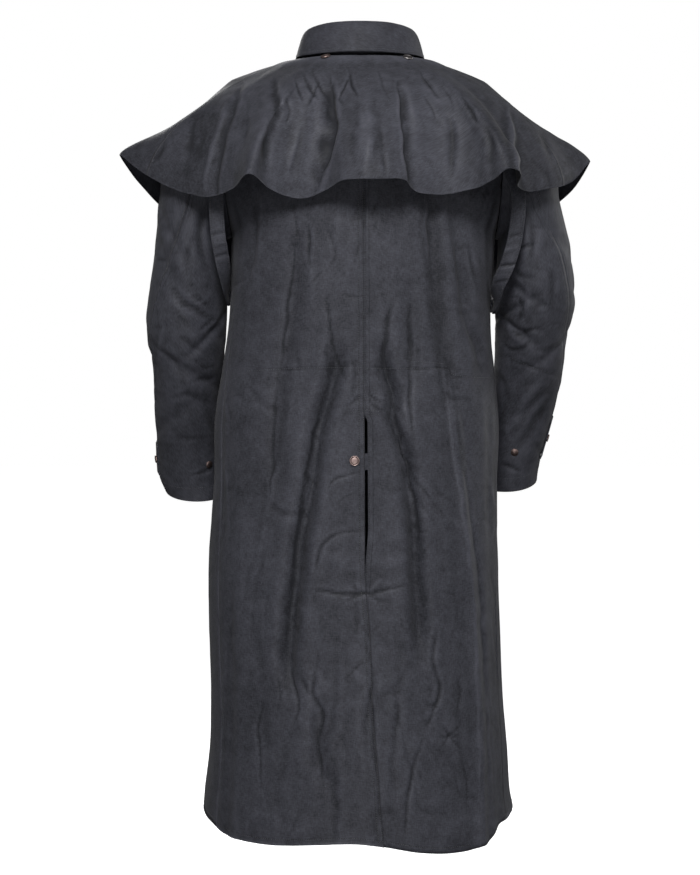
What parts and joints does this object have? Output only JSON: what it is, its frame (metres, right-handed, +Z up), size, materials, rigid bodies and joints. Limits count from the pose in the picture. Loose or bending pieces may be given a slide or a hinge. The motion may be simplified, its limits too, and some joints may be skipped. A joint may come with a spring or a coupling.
{
  "type": "duster coat",
  "caption": "Long waxed-cotton duster coat with a shoulder cape, turned-down collar, back vent and press snaps, closed and filled out as when worn.",
  "frame": {"origin": "middle of the neck hole at the level of the collar seam, where the wearer carries the coat", "axes": "+Z up along the coat's length, -Y towards its front, +X towards the wearer's left"},
  "size_m": [0.742, 0.4354, 1.2501],
  "materials": {
    "waxed_cotton": "matte waxed cotton, dark charcoal with a faint blue tint",
    "copper_snap": "antique copper press snaps, worn and softly polished"
  },
  "bodies": {
    "root": {"back_left": "waxed_cotton", "back_right": "waxed_cotton", "front_left": "waxed_cotton", "front_right": "waxed_cotton", "cape_left": "waxed_cotton", "cape_back": "waxed_cotton", "cape_right": "waxed_cotton", "collar_stand": "waxed_cotton", "collar_fall": "waxed_cotton", "sleeve_left_top": "waxed_cotton", "sleeve_left_under": "waxed_cotton", "sleeve_right_top": "waxed_cotton", "sleeve_right_under": "waxed_cotton", "cuff_tab_left": "waxed_cotton", "cuff_tab_right": "waxed_cotton", "underarm_strap_left": "waxed_cotton", "underarm_strap_right": "waxed_cotton", "vent_tab": "waxed_cotton", "hood_snap_left": "copper_snap", "hood_snap_right": "copper_snap", "vent_snap": "copper_snap", "cuff_snap_left": "copper_snap", "cuff_snap_right": "copper_snap", "tab_snap_left": "copper_snap", "tab_snap_right": "copper_snap", "front_snap_1": "copper_snap", "front_snap_2": "copper_snap", "front_snap_3": "copper_snap", "front_snap_4": "copper_snap", "front_snap_5": "copper_snap", "front_snap_6": "copper_snap"}
  },
  "joints": []
}
